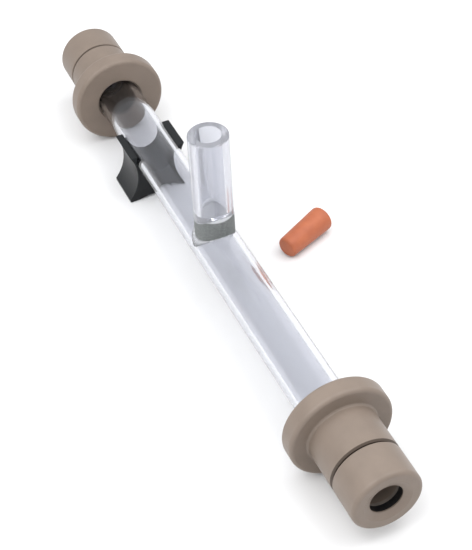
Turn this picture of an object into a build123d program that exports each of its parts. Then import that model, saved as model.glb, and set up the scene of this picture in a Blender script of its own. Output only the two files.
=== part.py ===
from build123d import *
import math
import os

# In-line carbon dioxide diffuser, millimetres.
# Origin: centre of the inlet mouth. +X: along the water path to the outlet. +Z: up the gas branch.

# Water tube: clear acrylic, 12/16 mm
tube_diameter = 16.0
tube_bore = 12.0
tube_seen_length = 172.5

# Compression fitting at each end, from its mouth inwards
fitting_length = 33.0
cap_length = 11.3
cap_diameter = 22.4
cap_edge_radius = 1.4
seam_gap = 0.6
barrel_chamfer = 0.5
flange_diameter = 33.6
flange_thickness = 6.6
flange_edge_radius = 1.3
flange_root_radius = 0.8
mouth_diameter = 10.6
mouth_lip = 0.4
mouth_bevel_diameter = 15.2
cap_rim_stand = 1.2
gasket_recess_depth = 2.5
gasket_diameter = 15.0
washer_thickness = 0.9
washer_diameter = 17.4
spigot_diameter = 17.4
cap_thread_bore = 18.8
pipe_stop_depth = 14.0
waterway_bore = 9.6
tube_stop_depth = 16.0
entry_chamfer = 0.6

# O-ring that seals the fitting on the water tube
seal_section = 1.9
seal_depth = 20.0
seal_groove_width = 2.1

# Gas branch and the porous ceramic under it
branch_x = 121.1
branch_diameter = 13.3
branch_bore = 8.5
branch_top = 45.7
branch_rim_radius = 0.5
stone_height = 7.9
stone_spigot_diameter = 8.0
stone_spigot_depth = 1.2
stone_pocket_floor = 14.8
bond_gap = 0.25
glue_gap = 0.03

# Saddle clip with its flared foot
clip_x = 55.2
clip_length = 15.0
jaw_height = 2.6
jaw_width = 2.6
neck_half_width = 8.5
neck_height = -8.8
foot_half_width = 12.0
foot_edge = 0.9
arch_half_width = 8.6
arch_rise = 1.1
clip_edge_radius = 0.35

# Rubber plug that closes the gas branch when it isn't in use, lying beside the tube
plug_length = 19.6
plug_small_diameter = 7.5
plug_large_diameter = 9.0
plug_edge_radius = 0.45
plug_centre_x = 117.0
plug_centre_y = 34.4
plug_heading = 114.0

running_gap = 0.05

# Worked out from the sizes above
total_length = 2 * fitting_length + tube_seen_length
tube_r = tube_diameter / 2
floor_z = -flange_diameter / 2
stone_top = tube_r + stone_height
inlet_place = Location((0, 0, 0))
outlet_place = Location((total_length, 0, 0), (0, 0, 180))


def pipe_solid(x0, x1, outer_r, inner_r):
    """Round tube along X from x0 to x1."""
    profile = Polyline((x0, inner_r), (x1, inner_r), (x1, outer_r), (x0, outer_r), close=True)
    return revolve(make_face(profile), Axis.X, 360)


def upright(z0, z1, radius):
    """Round bar on the gas branch's axis from z0 up to z1."""
    bar = Cylinder(radius, z1 - z0, align=(Align.CENTER, Align.CENTER, Align.MIN))
    return Location((branch_x, 0, z0)) * bar


def cross_bar(radius, lift=0.0):
    """Round bar along X with the water tube's curve, raised by lift: the tool that copes a saddle."""
    bar = Cylinder(radius, 4 * branch_diameter, rotation=(0, 90, 0))
    return Location((branch_x, 0, lift)) * bar


def main_tube():
    """Clear water tube, with a hole in its top wall for the ceramic's spigot."""
    tube = pipe_solid(tube_stop_depth + 0.1, total_length - tube_stop_depth - 0.1, tube_r, tube_bore / 2)
    return tube - upright(0, tube_r + 1, stone_spigot_diameter / 2 + running_gap)


def diffuser_stone():
    """Porous ceramic: coped below and above, with a spigot through the tube's wall and a flat gas pocket."""
    block = upright(0, stone_top + 1, branch_diameter / 2)
    above_tube = block - cross_bar(tube_r + glue_gap)
    coped_top = cross_bar(tube_r, stone_height) + Location((branch_x, 0, stone_height / 2)) * Box(
        4 * branch_diameter, 4 * branch_diameter, stone_height
    )
    body = above_tube & coped_top
    spigot = upright(tube_bore / 2 - stone_spigot_depth, tube_r + 1, stone_spigot_diameter / 2)
    pocket = upright(stone_pocket_floor, stone_top + 1, branch_bore / 2)
    return body + spigot - pocket


def gas_branch():
    """Clear thick-walled branch tube, its lower end coped to the ceramic and its rim eased."""
    tube = upright(stone_height, branch_top, branch_diameter / 2)
    tube = fillet(tube.edges().group_by(Axis.Z)[-1], branch_rim_radius)
    tube = tube - upright(0, branch_top + 1, branch_bore / 2)
    return tube - cross_bar(tube_r + bond_gap, stone_height)


def cap():
    """Screw cap: bevelled mouth with a thin lip, a recess for the gasket, then the threaded skirt."""
    mouth_r = mouth_diameter / 2
    skirt_r = cap_thread_bore / 2
    outline = Polyline(
        (0, mouth_r),
        (-cap_rim_stand, mouth_bevel_diameter / 2),
        (-cap_rim_stand, cap_diameter / 2),
        (cap_length, cap_diameter / 2),
        (cap_length, skirt_r),
        (gasket_recess_depth, skirt_r),
        (gasket_recess_depth, gasket_diameter / 2 + running_gap),
        (mouth_lip, gasket_diameter / 2 + running_gap),
        (mouth_lip, mouth_r),
        close=True,
    )
    face = make_face(outline)
    outer = face.vertices().filter_by(lambda v: v.Y > cap_diameter / 2 - 0.01)
    face = fillet(outer.sort_by(Axis.X)[0], cap_edge_radius)
    face = chamfer(face.vertices().sort_by(Axis.X)[-2:].sort_by(Axis.Y)[-1], 0.25)
    return revolve(face, Axis.X, 360)


def gasket():
    """Soft ring in the cap that closes on the pipe."""
    return pipe_solid(mouth_lip + 0.02, gasket_recess_depth, gasket_diameter / 2, mouth_diameter / 2)


def thrust_washer():
    """Slip washer, so that the turning cap doesn't drag the gasket round."""
    start = gasket_recess_depth + 0.02
    return pipe_solid(start, start + washer_thickness, washer_diameter / 2, mouth_diameter / 2)


def fitting_body():
    """Turned fitting body: threaded spigot, barrel and grip flange, bored for the pipe and the tube."""
    spigot_start = gasket_recess_depth + washer_thickness + 0.06
    barrel_start = cap_length + seam_gap
    flange_start = fitting_length - flange_thickness
    flange_r = flange_diameter / 2
    barrel_r = cap_diameter / 2
    socket_r = tube_r + running_gap
    groove_r = tube_r + seal_section + 0.1
    groove_start = seal_depth - seal_groove_width / 2
    groove_end = seal_depth + seal_groove_width / 2
    outline = Polyline(
        (spigot_start, mouth_diameter / 2),
        (spigot_start, spigot_diameter / 2),
        (barrel_start, spigot_diameter / 2),
        (barrel_start, barrel_r),
        (flange_start, barrel_r),
        (flange_start, flange_r),
        (fitting_length, flange_r),
        (fitting_length, socket_r),
        (groove_end, socket_r),
        (groove_end, groove_r),
        (groove_start, groove_r),
        (groove_start, socket_r),
        (tube_stop_depth, socket_r),
        (tube_stop_depth, waterway_bore / 2),
        (pipe_stop_depth, waterway_bore / 2),
        (pipe_stop_depth, mouth_diameter / 2),
        close=True,
    )
    face = make_face(outline)

    def corner(x, r):
        return face.vertices().sort_by_distance((x, r, 0))[0]

    face = fillet([corner(flange_start, flange_r), corner(fitting_length, flange_r)], flange_edge_radius)
    face = fillet(corner(flange_start, barrel_r), flange_root_radius)
    face = chamfer(corner(fitting_length, socket_r), entry_chamfer)
    face = chamfer([corner(barrel_start, barrel_r), corner(spigot_start, spigot_diameter / 2)], barrel_chamfer)
    return revolve(face, Axis.X, 360)


def tube_seal():
    """O-ring in the fitting's groove, just clear of the water tube."""
    ring_r = tube_r + running_gap + seal_section / 2
    section = Location((seal_depth, ring_r, 0)) * RegularPolygon(seal_section / 2, 12)
    return revolve(section, Axis.X, 360)


def tube_clip():
    """Moulded saddle clip: jaws past the tube's middle, a waisted pedestal and a foot with an arched sole."""
    inner_r = tube_r + running_gap
    jaw_y = math.sqrt(inner_r**2 - jaw_height**2) + jaw_width
    foot_top = floor_z + foot_edge
    right_jaw = Line((0, jaw_height), (jaw_y, jaw_height))
    right_side = ThreePointArc((jaw_y, jaw_height), (neck_half_width, neck_height), (foot_half_width, foot_top))
    right_edge = Line((foot_half_width, foot_top), (foot_half_width, floor_z))
    right_sole = Line((foot_half_width, floor_z), (arch_half_width, floor_z))
    half_arch = ThreePointArc(
        (arch_half_width, floor_z), (arch_half_width * 0.5, floor_z + arch_rise * 0.8), (0, floor_z + arch_rise)
    )
    middle = Line((0, floor_z + arch_rise), (0, jaw_height))
    half = make_face(Wire([right_jaw, right_side, right_edge, right_sole, half_arch, middle]))
    section = half + mirror(half, about=Plane.YZ)
    section = section - Circle(inner_r)
    block = extrude(Plane.YZ * section, clip_length)
    block = Location((clip_x, 0, 0)) * block
    end_edges = block.edges().filter_by(lambda e: e.center().X < clip_x + 0.01 or e.center().X > clip_x + clip_length - 0.01)
    outer_edges = end_edges.filter_by(lambda e: math.hypot(e.center().Y, e.center().Z) > inner_r + 0.3)
    try:
        return fillet(outer_edges, clip_edge_radius)
    except ValueError:
        return block


def branch_plug():
    """Tapered rubber plug, lying on its side on the surface the fittings stand on."""
    small_r = plug_small_diameter / 2
    large_r = plug_large_diameter / 2
    outline = Polyline((0, 0), (small_r, 0), (large_r, plug_length), (0, plug_length), close=True)
    face = make_face(outline)
    rims = face.vertices().filter_by(lambda v: v.X > 0.01)
    face = fillet(rims, plug_edge_radius)
    cone = revolve(Plane.XZ * face, Axis.Z, 360)
    half_angle = math.degrees(math.atan2(large_r - small_r, plug_length))
    laid = Location((0, 0, 0), (0, 90 - half_angle, 0)) * Location((0, 0, -plug_length / 2)) * cone
    lowest = laid.bounding_box().min.Z
    return Location((plug_centre_x, plug_centre_y, floor_z - lowest), (0, 0, plug_heading)) * laid


def write(shape, node):
    """Writes one node's solid."""
    export_step(shape, f"parts/{node}.step")


os.makedirs("parts", exist_ok=True)
write(main_tube(), "main_tube")
write(gas_branch(), "gas_branch")
write(diffuser_stone(), "diffuser_stone")
for end, place in (("inlet", inlet_place), ("outlet", outlet_place)):
    write(place * fitting_body(), f"{end}_body")
    write(place * cap(), f"{end}_cap")
    write(place * gasket(), f"{end}_gasket")
    write(place * thrust_washer(), f"{end}_washer")
    write(place * tube_seal(), f"{end}_tube_seal")
write(tube_clip(), "tube_clip")
write(branch_plug(), "branch_plug")
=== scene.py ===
import bpy
import bmesh
import math
from mathutils import Matrix, Vector


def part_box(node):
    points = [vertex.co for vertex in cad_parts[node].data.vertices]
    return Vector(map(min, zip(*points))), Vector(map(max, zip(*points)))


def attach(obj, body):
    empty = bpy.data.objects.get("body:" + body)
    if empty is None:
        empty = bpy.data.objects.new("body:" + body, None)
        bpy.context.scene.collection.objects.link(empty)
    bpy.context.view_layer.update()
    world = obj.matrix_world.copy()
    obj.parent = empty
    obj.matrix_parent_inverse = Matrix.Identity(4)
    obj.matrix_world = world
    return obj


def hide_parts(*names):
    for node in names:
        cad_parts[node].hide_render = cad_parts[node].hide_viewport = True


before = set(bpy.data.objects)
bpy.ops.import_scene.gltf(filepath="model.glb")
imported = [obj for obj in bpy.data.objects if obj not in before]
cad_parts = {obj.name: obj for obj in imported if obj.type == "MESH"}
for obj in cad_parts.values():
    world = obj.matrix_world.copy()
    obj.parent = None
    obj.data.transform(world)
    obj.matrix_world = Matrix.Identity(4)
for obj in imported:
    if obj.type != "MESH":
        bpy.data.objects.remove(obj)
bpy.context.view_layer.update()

scene = bpy.context.scene

# Water tube and gas branch: clear acrylic tube, sawn to length and polished.
# The thick walls look faintly lavender grey, with wipe marks left on the surface.


def new_material(name):
    """A material, its shader, and Object coordinates through a Mapping node."""
    material = bpy.data.materials.new(name)
    material.use_nodes = True
    place = material.node_tree.nodes.new("ShaderNodeTexCoord")
    mapping = material.node_tree.nodes.new("ShaderNodeMapping")
    material.node_tree.links.new(place.outputs["Object"], mapping.inputs["Vector"])
    return material, material.node_tree.nodes["Principled BSDF"], mapping


def settle(shader, values):
    """Sets sockets of the shader by name."""
    for socket, value in values.items():
        shader.inputs[socket].default_value = value


def noise(material, mapping, scale, detail=3.0):
    """Noise texture's value; scale is in features per metre."""
    node = material.node_tree.nodes.new("ShaderNodeTexNoise")
    node.inputs["Scale"].default_value = scale
    node.inputs["Detail"].default_value = detail
    material.node_tree.links.new(mapping.outputs["Vector"], node.inputs["Vector"])
    return node.outputs["Fac"]


def spread(material, source, low, high, to_low=0.0, to_high=1.0):
    """Maps a value from low..high to to_low..to_high."""
    node = material.node_tree.nodes.new("ShaderNodeMapRange")
    node.inputs["From Min"].default_value = low
    node.inputs["From Max"].default_value = high
    node.inputs["To Min"].default_value = to_low
    node.inputs["To Max"].default_value = to_high
    material.node_tree.links.new(source, node.inputs["Value"])
    return node.outputs["Result"]


def dress(node, material):
    """Gives a CAD node its material."""
    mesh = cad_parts[node].data
    for i in range(len(mesh.materials)):
        mesh.materials[i] = material


def clear_acrylic(name, colour, clearness):
    material, shader, mapping = new_material(name)
    settle(shader, {"Base Color": (*colour, 1), "Transmission Weight": clearness, "IOR": 1.49})
    smears = noise(material, mapping, 90.0)
    roughness = spread(material, smears, 0.35, 0.75, 0.02, 0.09)
    material.node_tree.links.new(roughness, shader.inputs["Roughness"])
    return material


dress("main_tube", clear_acrylic("tube_acrylic", (0.78, 0.79, 0.83), 1.0))
dress("gas_branch", clear_acrylic("branch_acrylic", (0.75, 0.76, 0.81), 0.82))

# Diffuser stone: sintered ceramic ground to shape and left unglazed, open-pored.
# Grey with dark pores and paler grains. Its top, round the pocket that the gas fills, is painted pale as
# painted light against the shade it lies in inside the branch.


def mixed_colour(material, shader, factor, light):
    """A Mix node on the shader's base colour, with light where factor is 1."""
    node = material.node_tree.nodes.new("ShaderNodeMix")
    node.data_type = "RGBA"
    node.inputs["B"].default_value = (*light, 1)
    material.node_tree.links.new(factor, node.inputs["Factor"])
    material.node_tree.links.new(node.outputs["Result"], shader.inputs["Base Color"])
    return node


def two_tone(material, shader, factor, dark, light):
    """Base colour between two tones."""
    mixed_colour(material, shader, factor, light).inputs["A"].default_value = (*dark, 1)


def overlay(material, shader, factor, colour):
    """Lays a colour over the present base colour where factor is 1."""
    under = shader.inputs["Base Color"].links[0].from_socket
    node = mixed_colour(material, shader, factor, colour)
    material.node_tree.links.new(under, node.inputs["A"])


def place_along(material, mapping, axis):
    """The place along X, Y or Z."""
    node = material.node_tree.nodes.new("ShaderNodeSeparateXYZ")
    material.node_tree.links.new(mapping.outputs["Vector"], node.inputs["Vector"])
    return node.outputs[axis]


def bump(material, shader, height, strength, distance):
    """Bump from a height, on the shader's normal."""
    node = material.node_tree.nodes.new("ShaderNodeBump")
    node.inputs["Strength"].default_value = strength
    node.inputs["Distance"].default_value = distance
    material.node_tree.links.new(height, node.inputs["Height"])
    material.node_tree.links.new(node.outputs["Normal"], shader.inputs["Normal"])


def porous_ceramic():
    painted_light_start, painted_light_full = 0.0144, 0.0149
    material, shader, mapping = new_material("porous_ceramic")
    settle(shader, {"Roughness": 0.85})
    grains = noise(material, mapping, 2400.0, 4.0)
    tone = spread(material, grains, 0.35, 0.65)
    two_tone(material, shader, tone, (0.11, 0.12, 0.12), (0.205, 0.216, 0.212))
    height = place_along(material, mapping, "Z")
    # Painted light: the top of the stone is painted pale against the shade inside the branch.
    overlay(material, shader, spread(material, height, painted_light_start, painted_light_full), (0.62, 0.63, 0.66))
    bump(material, shader, grains, 0.7, 0.0003)
    return material


dress("diffuser_stone", porous_ceramic())

# Cement joints: clear acrylic cement, set slightly milky. One thin saddle-shaped film holds the
# branch on the stone, and a fillet runs round the stone's foot. On the -Y side the fillet swells into a
# painted highlight: its pale bulk stands for light on the tube over the stone's foot.

tube_r = 0.008
stone_r = 0.00665
stone_height = 0.0079
branch_x = 0.1211
branch_bore_r = 0.00425
gap = 0.00001


def cement():
    material, shader, mapping = new_material("set_cement")
    settle(shader, {"Base Color": (0.62, 0.63, 0.66, 1), "Transmission Weight": 0.45, "IOR": 1.47})
    haze = noise(material, mapping, 700.0)
    roughness = spread(material, haze, 0.3, 0.7, 0.12, 0.35)
    material.node_tree.links.new(roughness, shader.inputs["Roughness"])
    return material


def put_in_scene(name, shape, material):
    """Makes a bmesh an object with one material."""
    mesh = bpy.data.meshes.new(name)
    shape.to_mesh(mesh)
    shape.free()
    mesh.materials.append(material)
    piece = bpy.data.objects.new(name, mesh)
    scene.collection.objects.link(piece)
    return piece


def tube_top(radius, angle):
    """Height of the water tube's top under a point of the branch's plan."""
    return math.sqrt(max(0.0, tube_r**2 - (radius * math.sin(angle)) ** 2))


def film_section(angle):
    """Film between the stone's coped top and the branch's coped end, pressed out a little at the rim."""
    inner, outer, pressed_out = branch_bore_r + 2 * gap, stone_r - 5 * gap, stone_r + 6 * gap
    thickness, bead_height = 0.00023, 0.00012
    inner_height = stone_height + tube_top(inner, angle) + gap
    outer_height = stone_height + tube_top(outer, angle) + gap
    return [
        (inner, inner_height),
        (inner, inner_height + thickness),
        (outer, outer_height + thickness),
        (pressed_out, outer_height + bead_height),
        (outer, outer_height),
    ]


def fillet_section(angle):
    """Fillet between the stone's side and the tube's top."""
    thinnest, painted_highlight_swell, painted_highlight_at = 0.00012, 0.001, math.radians(-100.0)
    climb, waist_out, waist_up = 1.35, 0.32, 0.55
    # Painted highlight: the pale swell on the -Y side is cement shaped to stand for light on the tube over
    # the stone's foot.
    size = thinnest + painted_highlight_swell * max(0.0, math.cos(angle - painted_highlight_at)) ** 3
    foot = stone_r + 2 * gap
    foot_height = tube_top(foot, angle) + gap
    return [
        (foot, foot_height),
        (foot, foot_height + size * climb),
        (foot + size * waist_out, foot_height + size * waist_up),
        (foot + size, tube_top(foot + size, angle) + 3 * gap),
    ]


def cement_ring(name, section, material):
    """Closed ring round the branch's axis. section(angle) gives its corners there as (radius, height)."""
    steps_round = 96
    shape = bmesh.new()
    loops = []
    for corner in range(len(section(0.0))):
        made = bmesh.ops.create_circle(shape, segments=steps_round, radius=1.0)["verts"]
        for vert in made:
            angle = math.atan2(vert.co.y, vert.co.x)
            radius, height = section(angle)[corner]
            vert.co = Vector((branch_x + radius * math.cos(angle), radius * math.sin(angle), height))
        loops.append(list({edge for vert in made for edge in vert.link_edges}))
    for i, loop in enumerate(loops):
        bmesh.ops.bridge_loops(shape, edges=loop + loops[(i + 1) % len(loops)])
    bmesh.ops.recalc_face_normals(shape, faces=shape.faces)
    for face in shape.faces:
        face.smooth = True
    ring = put_in_scene(name, shape, material)
    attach(ring, "tube")


set_cement = cement()
cement_ring("branch_cement_film", film_section, set_cement)
cement_ring("stone_cement_fillet_painted_highlight", fillet_section, set_cement)

# Compression fittings: bodies and screw caps turned from beige plastic with a satin surface.
# A brown band of painted shade darkens the seam. Both threads are right-handed, 1.5 mm a turn.

outlet_mouth = 0.2385


def math_step(material, operation, source, *values):
    """One step of arithmetic on a value."""
    node = material.node_tree.nodes.new("ShaderNodeMath")
    node.operation = operation
    material.node_tree.links.new(source, node.inputs[0])
    for i, value in enumerate(values):
        node.inputs[i + 1].default_value = value
    return node.outputs["Value"]


def end_band(material, mapping, start, end):
    """1 between two depths behind the mouth at either end, else 0."""
    middle = outlet_mouth / 2
    from_middle = math_step(material, "SUBTRACT", place_along(material, mapping, "X"), middle)
    from_middle = math_step(material, "ABSOLUTE", from_middle)
    return math_step(material, "COMPARE", from_middle, middle - (start + end) / 2, (end - start) / 2)


def beige_plastic():
    seam_shade_start, seam_shade_end = 0.0113, 0.0125
    material, shader, mapping = new_material("beige_plastic")
    settle(shader, {"Roughness": 0.42, "Specular IOR Level": 0.32})
    tone = spread(material, noise(material, mapping, 160.0), 0.3, 0.7)
    two_tone(material, shader, tone, (0.185, 0.146, 0.118), (0.205, 0.162, 0.131))
    # Painted shade: a brown band darkens the seam between each body and its cap.
    seam_shade = end_band(material, mapping, seam_shade_start, seam_shade_end)
    overlay(material, shader, seam_shade, (0.075, 0.055, 0.042))
    bump(material, shader, noise(material, mapping, 3200.0, 2.0), 0.1, 0.0001)
    return material


def screw_thread(end, part, depth, root_r, crest_r, root_width, crest_width, material, body):
    """Helical ridge that starts at a depth behind the mouth and winds towards it."""
    pitch, turns, steps_a_turn = 0.0015, 4, 48
    outward = -1.0 if end == "inlet" else 1.0
    start = (0.0 if end == "inlet" else outlet_mouth) - outward * depth
    half_root, half_crest = outward * root_width / 2, outward * crest_width / 2
    corners = [
        (start - half_root, root_r),
        (start - half_crest, crest_r),
        (start + half_crest, crest_r),
        (start + half_root, root_r),
    ]
    shape = bmesh.new()
    ridge = shape.faces.new([shape.verts.new((x, 0.0, radius)) for x, radius in corners])
    bmesh.ops.spin(
        shape,
        geom=[ridge, *ridge.edges, *ridge.verts],
        cent=(0, 0, 0),
        axis=(outward, 0, 0),
        dvec=(outward * pitch / steps_a_turn, 0, 0),
        angle=math.tau * turns,
        steps=steps_a_turn * turns,
        use_merge=False,
    )
    bmesh.ops.holes_fill(shape, edges=[edge for edge in shape.edges if edge.is_boundary], sides=8)
    bmesh.ops.recalc_face_normals(shape, faces=shape.faces)
    thread = put_in_scene(f"{end}_{part}_thread", shape, material)
    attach(thread, body)


beige = beige_plastic()
for end in ("inlet", "outlet"):
    dress(end + "_body", beige)
    dress(end + "_cap", beige)
    screw_thread(
        end,
        "spigot",
        depth=0.011,
        root_r=0.00866,
        crest_r=0.00922,
        root_width=0.001,
        crest_width=0.00035,
        material=beige,
        body=end + "_fitting",
    )
    screw_thread(
        end,
        "cap",
        depth=0.01025,
        root_r=0.00943,
        crest_r=0.00884,
        root_width=0.0007,
        crest_width=0.00025,
        material=beige,
        body=end + "_cap",
    )

# Seals: the gasket behind each mouth and the O-ring on the water tube are black nitrile rubber.
# A thin slip washer of satin plastic lies behind each gasket.


def black_rubber():
    material, shader, mapping = new_material("black_seal")
    settle(shader, {"Roughness": 0.4})
    dust = spread(material, noise(material, mapping, 1500.0, 4.0), 0.45, 0.8)
    two_tone(material, shader, dust, (0.005, 0.005, 0.006), (0.02, 0.019, 0.018))
    return material


def slip_washer():
    material, shader, mapping = new_material("slip_washer")
    settle(shader, {"Roughness": 0.4})
    tone = spread(material, noise(material, mapping, 400.0), 0.3, 0.7)
    two_tone(material, shader, tone, (0.17, 0.148, 0.13), (0.22, 0.19, 0.165))
    return material


black = black_rubber()
washer = slip_washer()
for end in ("inlet", "outlet"):
    dress(end + "_gasket", black)
    dress(end + "_tube_seal", black)
    dress(end + "_washer", washer)

# Saddle clip: injection moulded in near-black plastic, satin, sprung on over the water tube.
# The faces are finely grained and the edges are eased.


def clip_plastic():
    material, shader, mapping = new_material("clip_plastic")
    settle(shader, {"Roughness": 0.34, "Specular IOR Level": 0.25})
    grain = noise(material, mapping, 2500.0)
    tone = spread(material, grain, 0.3, 0.7)
    two_tone(material, shader, tone, (0.005, 0.006, 0.007), (0.011, 0.012, 0.0135))
    bump(material, shader, grain, 0.12, 0.0001)
    return material


dress("tube_clip", clip_plastic())

# Branch plug: orange rubber, moulded in a tapered stick and cropped, its ends rounded over.
# It lies on its side and stands for the CAD plug, whose ends are sharper.


def orange_rubber():
    material, shader, mapping = new_material("orange_rubber")
    settle(shader, {"Roughness": 0.55})
    tone = spread(material, noise(material, mapping, 260.0), 0.3, 0.7)
    two_tone(material, shader, tone, (0.355, 0.092, 0.037), (0.41, 0.113, 0.044))
    bump(material, shader, noise(material, mapping, 2600.0, 2.0), 0.15, 0.0001)
    return material


def branch_plug():
    length, small_r, large_r, rounding = 0.0196, 0.00375, 0.0045, 0.0011
    side_steps, corner_steps, steps_a_turn = 24, 6, 72
    centre_x, centre_y, heading = 0.117, 0.0344, math.radians(114.0)
    corner_turns = [math.radians(90 / corner_steps * i) for i in range(corner_steps + 1)]
    profile = [(0.0, 0.0)]
    for turn in corner_turns:
        profile.append((small_r - rounding * (1 - math.sin(turn)), rounding * (1 - math.cos(turn))))
    for i in range(1, side_steps):
        along = rounding + (length - 2 * rounding) * i / side_steps
        profile.append((small_r + (large_r - small_r) * i / side_steps, along))
    for turn in corner_turns:
        profile.append((large_r - rounding * (1 - math.cos(turn)), length - rounding * (1 - math.sin(turn))))
    profile.append((0.0, length))
    shape = bmesh.new()
    verts = [shape.verts.new((radius, 0.0, z)) for radius, z in profile]
    edges = [shape.edges.new(pair) for pair in zip(verts, verts[1:])]
    bmesh.ops.spin(
        shape,
        geom=verts + edges,
        cent=(0, 0, 0),
        axis=(0, 0, 1),
        angle=math.tau,
        steps=steps_a_turn,
        use_merge=True,
    )
    bmesh.ops.remove_doubles(shape, verts=shape.verts, dist=1e-6)
    bmesh.ops.recalc_face_normals(shape, faces=shape.faces)
    for face in shape.faces:
        face.smooth = True
    half_angle = math.atan2(large_r - small_r, length)
    laid = Matrix.Rotation(heading, 4, "Z") @ Matrix.Rotation(math.pi / 2 - half_angle, 4, "Y")
    laid = laid @ Matrix.Translation((0, 0, -length / 2))
    bmesh.ops.transform(shape, matrix=laid, verts=shape.verts)
    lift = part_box("branch_plug")[0].z - min(vert.co.z for vert in shape.verts)
    bmesh.ops.translate(shape, verts=shape.verts, vec=(centre_x, centre_y, lift))
    plug = put_in_scene("moulded_plug", shape, orange_rubber())
    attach(plug, "plug")
    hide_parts("branch_plug")


branch_plug()

# Studio: a pale floor just under the flanges' rims, soft lights above and at both sides,
# an even pale sky, and the camera.


def studio_floor():
    material, shader = new_material("floor_paper")[:2]
    settle(shader, {"Base Color": (0.76, 0.76, 0.76, 1), "Roughness": 0.9, "Specular IOR Level": 0.0})
    half_width = 4.0
    plane = bmesh.new()
    bmesh.ops.create_grid(plane, x_segments=1, y_segments=1, size=half_width)
    just_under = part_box("inlet_body")[0].z - 2 * gap
    bmesh.ops.translate(plane, verts=plane.verts, vec=(0, 0, just_under))
    floor = put_in_scene("studio_floor", plane, material)


def soft_light(name, place, size, power):
    """Rectangular light that faces the middle of the water tube."""
    data = bpy.data.lights.new(name, "AREA")
    data.shape = "RECTANGLE"
    data.size, data.size_y = size
    data.energy = power
    light = bpy.data.objects.new(name, data)
    light.location = place
    middle_of_tube = Vector((0.12, 0.0, 0.0))
    light.rotation_euler = (middle_of_tube - Vector(place)).to_track_quat("-Z", "Y").to_euler()
    scene.collection.objects.link(light)


studio_floor()
soft_light("overhead", (0.08, 0.0, 0.6), (0.6, 0.6), 1.0)
soft_light("left_front", (0.28, -0.28, 0.4), (0.35, 0.35), 1.0)
soft_light("right_front", (0.3, 0.2, 0.38), (0.3, 0.3), 0.5)
soft_light("right_side", (0.1, 0.4, 0.6), (0.6, 0.6), 1.4)
soft_light("left_side", (0.05, -0.35, 0.6), (0.6, 0.6), 1.2)

scene.world = bpy.data.worlds.new("studio_air")
scene.world.use_nodes = True
settle(scene.world.node_tree.nodes["Background"], {"Color": (0.97, 0.98, 1.0, 1), "Strength": 0.9})

camera_data = bpy.data.cameras.new("camera")
camera_data.sensor_fit = "VERTICAL"
camera_data.sensor_height = 36.0
camera_data.lens = 96.6
camera_data.clip_start = 0.01
camera = bpy.data.objects.new("camera", camera_data)
scene.collection.objects.link(camera)
right = Vector((0.4108, 0.9106, -0.0456)).normalized()
back = Vector((0.6717, -0.2685, 0.6904)).normalized()
up = back.cross(right).normalized()
turned = Matrix((right, up, back)).transposed().to_4x4()
eye = (0.4575, -0.1281, 0.3286)
camera.matrix_world = Matrix.Translation(eye) @ turned
scene.camera = camera
scene.view_settings.view_transform = "Standard"
